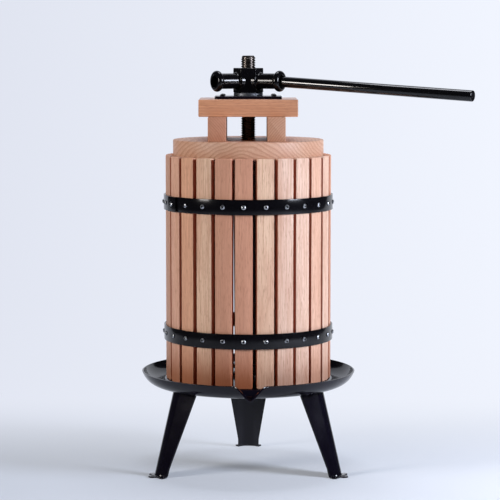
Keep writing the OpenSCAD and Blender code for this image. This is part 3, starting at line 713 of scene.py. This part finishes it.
def makeLegs():
    spec = legSpec
    top = spec["height"] - spec["sheet"] / 2
    low = spec["footThick"] / 2
    shares = [(k / spec["levels"]) ** spec["levelPower"] for k in range(spec["levels"] + 1)]
    channel = stack([legRing(low + (top - low) * share) for share in shares])
    leg = joined([channel, footPlate(), fixingEar()])
    for node, azimuth in spec["nodes"].items():
        turn = Matrix.Rotation(math.radians(azimuth), 4, "Z")
        piece = addMesh("legPressing" + node.split("_")[1].capitalize(), moved(leg, turn))
        finishPiece(piece, sheetEnamel, "base", [node])


makeLegs()
print("legs made:", len(legSpec["nodes"]))

# screw: one continuous right-hand thread with small flats
spindleSpec = {"crestR": 12.0, "rootR": 10.5, "pitch": 4.0, "perTurn": 36, "endEase": 1.6, "endShare": 0.98,
               "section": [(0.0, 0), (0.12, 0), (0.38, 1), (0.62, 1), (0.88, 0), (1.0, 0)], "sharpDeg": 30}


def makeSpindle():
    spec = spindleSpec
    low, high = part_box("spindle")
    length = (high.z - low.z) / mm
    turnCount = int(length / spec["pitch"]) + 2
    width = len(spec["section"])
    verts, faces = [], []
    for k in range(turnCount * spec["perTurn"] + 1):
        turn = 2 * math.pi * k / spec["perTurn"]
        climb = spec["pitch"] * (k / spec["perTurn"] - 1)
        for share, crest in spec["section"]:
            z = climb + spec["pitch"] * share
            radius = spec["crestR"] if crest else spec["rootR"]
            toEnd = min(z, length - z)
            radius = min(radius, spec["rootR"] - spec["endEase"] + max(0.0, toEnd))
            z = min(max(z, 0.0), length)
            verts.append(Vector((radius * math.cos(turn) * mm, radius * math.sin(turn) * mm, low.z + z * mm)))
        if k:
            for j in range(width - 1):
                a = (k - 1) * width + j
                faces.append((a, a + 1, a + width + 1, a + width))
    endR = spec["rootR"] * spec["endShare"]
    turns = [2 * math.pi * k / spec["perTurn"] for k in range(spec["perTurn"])]
    for z in (low.z, high.z):
        faces.append(tuple(range(len(verts), len(verts) + len(turns))))
        verts += [Vector((endR * math.cos(t) * mm, endR * math.sin(t) * mm, z)) for t in turns]
    piece = addMesh("screwSpindle", (verts, faces))
    finishPiece(piece, oiledSteel, "base", ["spindle"], spec["sharpDeg"])


makeSpindle()
print("screw made")

# press head: two half discs, two bars, the beam, its plate and the thrust ring
# piths and shifts say where in the trunk each board was cut, in mm
headSpec = {"discEdge": 1.6, "notchR": 14.0, "discTone": "#dab296", "discPith": (8, 62), "discShift": 900,
            "barEdge": 1.0, "barShift": 300,
            "bars": {"left": {"tone": "#c18b6f", "pith": (60, 48)},
                     "right": {"tone": "#cda488", "pith": (-70, 64)}},
            "beamEdge": 1.5, "beamCorner": 2.0, "beamTone": "#daa17c", "beamPith": (30, 150), "beamShift": 40,
            "holeR": 13.2, "plateEdge": 0.8, "plateCorner": 2.0, "ringEase": 0.6, "ringSharpDeg": 25}


def makeDisc():
    notch = headSpec["notchR"] * mm
    for node, side in (("press_disc_front", -1), ("press_disc_rear", 1)):
        low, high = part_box(node)
        radius = high.x
        gap = -high.y if side < 0 else low.y
        tilt = math.degrees(math.asin(gap / radius))
        notchTilt = math.degrees(math.asin(gap / notch))
        loop = arc((0, 0), radius, 180 + tilt, 360 - tilt, steps=72)
        loop += arc((0, 0), notch, 360 - notchTilt, 180 + notchTilt, steps=20)
        if side > 0:
            loop = [Vector((-p.x, -p.y)) for p in loop]
        piece = addMesh("pressDiscFront" if side < 0 else "pressDiscRear",
                        slab(loop, low.z, high.z, headSpec["discEdge"] * mm))
        setGrain(piece, Vector((0, 0, low.z)), (axisX, axisZ, axisY), headSpec["discPith"],
                 headSpec["discShift"] * side, headSpec["discTone"])
        finishPiece(piece, discBeech, "press_head", [node])


def makeBars():
    for side, board in headSpec["bars"].items():
        node = "spacer_bar_" + side
        low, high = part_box(node)
        middle = (low + high) / 2
        loop = roundedRect(high.x - low.x, high.z - low.z, headSpec["barEdge"] * mm)
        shape = slab(loop, low.y, high.y, headSpec["barEdge"] * mm)
        matrix = Matrix(((1, 0, 0, middle.x), (0, 0, 1, 0), (0, 1, 0, middle.z), (0, 0, 0, 1)))
        piece = addMesh("spacerBar" + side.capitalize(), moved(shape, matrix))
        setGrain(piece, middle, (axisX, axisZ, axisY), board["pith"], headSpec["barShift"] * board["pith"][0],
                 board["tone"])
        finishPiece(piece, barBeech, "press_head", [node])


def holedBlock(name, node, kind):  # block or plate with a round hole for the screw
    low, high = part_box(node)
    loop = roundedRect(high.x - low.x, high.y - low.y, headSpec[kind + "Corner"] * mm, steps=6)
    edge, hole = headSpec[kind + "Edge"] * mm, headSpec["holeR"] * mm
    return addMesh(name, slab(loop, low.z, high.z, edge, hole))


def makeBeam():
    piece = holedBlock("pressureBeamBlock", "pressure_beam", "beam")
    setGrain(piece, boxMiddle("pressure_beam"), (axisY, axisZ, axisX), headSpec["beamPith"],
             headSpec["beamShift"], headSpec["beamTone"])
    finishPiece(piece, beamBeech, "press_head", ["pressure_beam"])


def makePlate():
    piece = holedBlock("headPlateSteel", "head_plate", "plate")
    finishPiece(piece, sheetEnamel, "press_head", ["head_plate"])
    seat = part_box("head_plate")[1].z
    screwLow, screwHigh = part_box("plate_screws")
    x = screwHigh.x - plateScrewSpec["headR"] * mm
    y = screwHigh.y - plateScrewSpec["headR"] * mm
    screw = screwShape(plateScrewSpec, seat - screwLow.z)
    heads = []
    for number, (sx, sy) in enumerate(((x, y), (-x, y), (-x, -y), (x, -y))):
        turn = Matrix.Rotation(plateScrewSpec["firstTurn"] + number, 4, "Z")
        heads.append(moved(screw, Matrix.Translation((sx, sy, seat)) @ turn))
    piece = addMesh("plateScrews", joined(heads))
    finishPiece(piece, castEnamel, "press_head", ["plate_screws"])


def makeRing():
    low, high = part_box("thrust_ring")
    ease, outer, inner = headSpec["ringEase"] * mm, high.x, headSpec["holeR"] * mm
    profile = [(inner, low.z), (outer - ease, low.z), (outer, low.z + ease), (outer, high.z - ease),
               (outer - ease, high.z), (inner, high.z), (inner, low.z)]
    verts, faces = lathe(profile, steps=96)
    piece = addMesh("thrustRingSteel", (verts, faces[:-2]))  # its profile is closed, so it has no end caps
    finishPiece(piece, turnedSteel, "press_head", ["thrust_ring"], headSpec["ringSharpDeg"])


makeDisc()
makeBars()
makeBeam()
makePlate()
makeRing()
print("press head made")

# nut: iron casting with a hexagonal hub and sockets on three arms
nutSpec = {"arms": [-150, -30, 90], "hubCorners": 50.4, "hubEdge": 1.0, "armZ": 19.6, "armR": 13.0,
           "armFrom": 4, "rootR": 4.0, "beadR": 17.75, "beadW": 11.5, "reach": 66.0, "beadRootR": 2.5,
           "socketR": 10.2, "socketDeep": 39.0, "mouth": 1.0, "past": 3, "boreR": 12.05,
           "voxel": 0.6, "smooth": 3, "soften": 0.5, "sharpDeg": 40}


def armShape():
    spec = nutSpec
    flatR = spec["hubCorners"] / 2 * math.cos(math.radians(30))
    beadRound = spec["beadW"] / 2
    beadMidR = spec["beadR"] - beadRound
    beadMidU = spec["reach"] - beadRound
    rootMidR = spec["armR"] + spec["rootR"]
    creaseMidR = spec["armR"] + spec["beadRootR"]
    crease = math.degrees(math.acos((creaseMidR - beadMidR) / beadRound))
    creaseU = beadMidU - beadRound * math.sin(math.radians(crease))
    path = [Vector((rootMidR, spec["armFrom"]))]
    path += arc((rootMidR, flatR + spec["rootR"]), spec["rootR"], -90, -180, steps=8)
    path += arc((creaseMidR, creaseU - spec["beadRootR"]), spec["beadRootR"], 180, 90, steps=6)
    path += arc((beadMidR, beadMidU), beadRound, -crease, 90, steps=16)
    return lathe([(p.x * mm, p.y * mm) for p in path], steps=72)


def socketShape():
    spec = nutSpec
    radius, mouthR, reach = spec["socketR"], spec["socketR"] + spec["mouth"], spec["reach"]
    path = [(radius, reach - spec["socketDeep"]), (radius, reach - spec["mouth"]), (mouthR, reach),
            (mouthR, reach + spec["past"])]
    return lathe([(r * mm, u * mm) for r, u in path], steps=64)


def makeNut():
    spec = nutSpec
    low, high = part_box("press_nut")
    hexagon = [Vector((math.cos(math.radians(a)), math.sin(math.radians(a)))) * spec["hubCorners"] / 2 * mm
               for a in range(0, 360, 60)]
    hub = slab(hexagon, low.z, high.z, spec["hubEdge"] * mm)
    arm, socket = armShape(), socketShape()
    bore = lathe([(spec["boreR"] * mm, low.z - mm), (spec["boreR"] * mm, high.z + mm)], steps=64)
    places = [Matrix.Rotation(math.radians(a), 4, "Z") @ Matrix.Translation((0, 0, low.z + spec["armZ"] * mm))
              @ Matrix.Rotation(math.pi / 2, 4, "Y") for a in spec["arms"]]
    piece = addMesh("pressNutCasting", joined([hub] + [moved(arm, place) for place in places]))
    fuse = piece.modifiers.new("fuse", "REMESH")
    fuse.mode = "VOXEL"
    fuse.voxel_size = spec["voxel"] * mm
    soften = piece.modifiers.new("soften", "SMOOTH")
    soften.factor = spec["soften"]
    soften.iterations = spec["smooth"]
    bakeModifiers(piece)
    cutAway(piece, addMesh("nutBores", joined([bore] + [moved(socket, place) for place in places])))
    finishPiece(piece, castEnamel, "nut", ["press_nut"], spec["sharpDeg"])


makeNut()
print("nut made")

# handle: plain round bar, hanging in its socket by its play
handleSpec = {"azimuth": -30, "radius": 9.0, "length": 382.0, "engaged": 36.0, "seat": 0.2, "ease": 1.2}


def makeHandle():
    spec = handleSpec
    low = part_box("press_nut")[0]
    play = nutSpec["socketR"] - spec["radius"] - spec["seat"]
    droop = math.atan(2 * play / spec["engaged"])
    easeR = spec["radius"] - spec["ease"]
    path = arc((easeR, spec["ease"]), spec["ease"], -90, 0, steps=4)
    path += arc((easeR, spec["length"] - spec["ease"]), spec["ease"], 0, 90, steps=4)
    bar = lathe([(p.x * mm, p.y * mm) for p in path], steps=72)
    place = Matrix.Rotation(math.radians(spec["azimuth"]), 4, "Z")
    place = place @ Matrix.Translation((0, 0, low.z + nutSpec["armZ"] * mm))
    place = place @ Matrix.Rotation(math.pi / 2, 4, "Y")
    place = place @ Matrix.Translation((0, 0, (nutSpec["reach"] - spec["engaged"] / 2) * mm))
    place = place @ Matrix.Rotation(droop, 4, "Y") @ Matrix.Translation((0, 0, -spec["engaged"] / 2 * mm))
    piece = addMesh("handleBarSteel", moved(bar, place))
    finishPiece(piece, barEnamel, "nut", ["handle_bar"])


makeHandle()
print("handle made")

# fasteners under the tray and inside the basket keep their solids
for node in ("leg_bolts", "leg_washers", "leg_nuts", "spindle_washer_upper", "spindle_nut_upper",
             "spindle_washer_lower", "spindle_nut_lower"):
    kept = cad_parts[node].data
    kept.materials.clear()
    kept.materials.append(oiledSteel if node.startswith("spindle") else brightZinc)


def paleShare(tree, seen, mirrored):  # how much of the pale background a ray finds
    ray = addNode(tree, "LightPath").outputs
    direct = addNode(tree, "Math", {0: ray["Is Camera Ray"], 1: seen}, operation="MULTIPLY")
    bounced = addNode(tree, "Math", {0: ray["Is Glossy Ray"], 1: ray["Is Transmission Ray"]},
                      operation="MAXIMUM")
    bounced = addNode(tree, "Math", {0: bounced, 1: mirrored}, operation="MULTIPLY")
    return addNode(tree, "Math", {0: direct, 1: bounced}, operation="MAXIMUM")


# studio: pale floor that sweeps up into a backdrop; its glow is painted light, a little brighter at the
# right, and its paper is painted shade, darker at the left
studioSpec = {"front": -2.2, "bend": 1.1, "bendR": 1.6, "bendSteps": 24, "top": 5.0, "halfW": 2.3,
              # paper colour: painted shade at the left, nearly white at the right
              "paperLeft": "#bdc5d1", "paperRight": "#f6f9fe",
              # backdrop glow: painted light, a little brighter at the right
              "glowLeft": "#e1e5f1", "glowRight": "#f1f5ff", "glowHalfW": 0.7, "glowFront": "#e2e8f3",
              "frontShare": 0.18, "glowFrom": -0.2, "glowFull": 0.7, "farFrom": 1.1, "farFull": 2.1}


# Rolled studio paper, matt: it takes soft shadows round the press and fades to an even pale ground
def studioPaper():
    spec = studioSpec
    material, tree = newTree("matteStudioPaper")
    place = addNode(tree, "NewGeometry").outputs["Position"]
    parts = addNode(tree, "SeparateXYZ", {0: place}).outputs
    back = addNode(tree, "MapRange", {
        "Value": parts["Y"], "From Min": spec["glowFrom"], "From Max": spec["glowFull"]},
        interpolation_type="SMOOTHSTEP")
    across = addNode(tree, "MapRange", {
        "Value": parts["X"], "From Min": -spec["glowHalfW"], "From Max": spec["glowHalfW"]})
    # painted light and shade: glow and paper run from darker at the left to brighter at the right
    shade, paper = (addNode(tree, "Mix", {
        0: across, 6: linear(spec[tone + "Left"]), 7: linear(spec[tone + "Right"])},
        data_type="RGBA").outputs[2] for tone in ("glow", "paper"))
    shade = addNode(tree, "Mix", {0: back, 6: linear(spec["glowFront"]), 7: shade},
                    data_type="RGBA").outputs[2]
    near = addNode(tree, "MapRange", {"Value": back, "To Min": spec["frontShare"]})
    away = addNode(tree, "VectorMath", {0: place}, operation="LENGTH").outputs["Value"]
    far = addNode(tree, "MapRange", {
        "Value": away, "From Min": spec["farFrom"], "From Max": spec["farFull"]},
        interpolation_type="SMOOTHSTEP")
    seen = addNode(tree, "Math", {0: near, 1: far}, operation="MAXIMUM")
    matt = addNode(tree, "BsdfDiffuse", {"Color": paper})
    glow = addNode(tree, "Emission", {"Color": shade, "Strength": 1.0})
    mix = addNode(tree, "MixShader", {0: paleShare(tree, seen, back), 1: matt, 2: glow})
    addNode(tree, "OutputMaterial", {"Surface": mix})
    return material


def makeStudio():
    spec = studioSpec
    path = [(spec["front"], 0.0), (spec["bend"], 0.0)]
    for k in range(1, spec["bendSteps"] + 1):
        turn = math.pi / 2 * k / spec["bendSteps"]
        path.append((spec["bend"] + spec["bendR"] * math.sin(turn), spec["bendR"] * (1 - math.cos(turn))))
    path.append((spec["bend"] + spec["bendR"], spec["top"]))
    verts = [(x, y, z) for y, z in path for x in (-spec["halfW"], spec["halfW"])]
    faces = [(2 * k, 2 * k + 1, 2 * k + 3, 2 * k + 2) for k in range(len(path) - 1)]
    mesh = bpy.data.meshes.new("studioSweep")
    mesh.from_pydata(verts, [], faces)
    mesh.shade_smooth()
    mesh.materials.append(studioPaper())
    sweepPiece = bpy.data.objects.new("studioSweep", mesh)
    scene.collection.objects.link(sweepPiece)


# air round the studio: pale behind the press, as the backdrop is, and nearly dark in front of it
airSpec = {"colour": "#dfe6f4", "strength": 0.05, "behindFrom": 0.7, "behindFull": 0.9}


def makeAir():
    spec = airSpec
    world = bpy.data.worlds.new("studioAir")
    world.use_nodes = True
    tree = world.node_tree
    tree.nodes.clear()
    heading = addNode(tree, "TexCoord").outputs["Generated"]
    heading = addNode(tree, "SeparateXYZ", {0: heading}).outputs["Y"]
    behind = addNode(tree, "MapRange", {
        "Value": heading, "From Min": spec["behindFrom"], "From Max": spec["behindFull"]})
    air, pale = (addNode(tree, "Background", {"Color": linear(colour), "Strength": strength})
                 for colour, strength in ((spec["colour"], spec["strength"]), (studioSpec["glowFront"], 1.0)))
    mix = addNode(tree, "MixShader", {0: paleShare(tree, 1.0, behind), 1: air, 2: pale})
    addNode(tree, "OutputWorld", {"Surface": mix})
    scene.world = world


# lamps: soft boxes at the right and the left, and a weak one overhead
lampSpec = {"key": {"azimuth": -27, "rise": 17.5, "far": 2.0, "size": (0.55, 0.55), "power": 45,
                    "colour": "#eaf0ff"},
            "fill": {"azimuth": -150, "rise": 15.5, "far": 1.9, "size": (0.45, 0.45), "power": 18.5,
                     "colour": "#fff9f4"},
            "top": {"azimuth": 80, "rise": 80, "far": 2.4, "size": (1.2, 0.8), "power": 24,
                    "colour": "#f4f7ff"}}
lampAim = Vector((0, 0, 0.38))


def makeLamps():
    for name, spec in lampSpec.items():
        light = bpy.data.lights.new(name + "SoftBox", "AREA")
        light.shape = "RECTANGLE"
        light.size, light.size_y = spec["size"]
        light.energy = spec["power"]
        light.color = linear(spec["colour"])[:3]
        lamp = bpy.data.objects.new(name + "SoftBox", light)
        azimuth, rise = math.radians(spec["azimuth"]), math.radians(spec["rise"])
        flat = math.cos(rise)
        away = Vector((flat * math.cos(azimuth), flat * math.sin(azimuth), math.sin(rise)))
        lamp.location = lampAim + away * spec["far"]
        lamp.rotation_euler = away.to_track_quat("Z", "Y").to_euler()
        lamp.visible_camera = False
        scene.collection.objects.link(lamp)


makeStudio()
makeLamps()
makeAir()
scene.view_settings.view_transform = "Standard"
print("studio lit:", len(lampSpec), "lamps")

# camera: long lens, a little above the press and far back
cameraSpec = {"place": (0.0029, -3.4522, 0.7216), "downDeg": 5.775, "lens": 147.155, "sensor": 36.0}
camera = bpy.data.cameras.new("studioCamera")
camera.lens = cameraSpec["lens"]
camera.sensor_width = cameraSpec["sensor"]
cameraPiece = bpy.data.objects.new("studioCamera", camera)
cameraPiece.location = cameraSpec["place"]
cameraPiece.rotation_euler = (math.radians(90 - cameraSpec["downDeg"]), 0, 0)
scene.collection.objects.link(cameraPiece)
scene.camera = cameraPiece
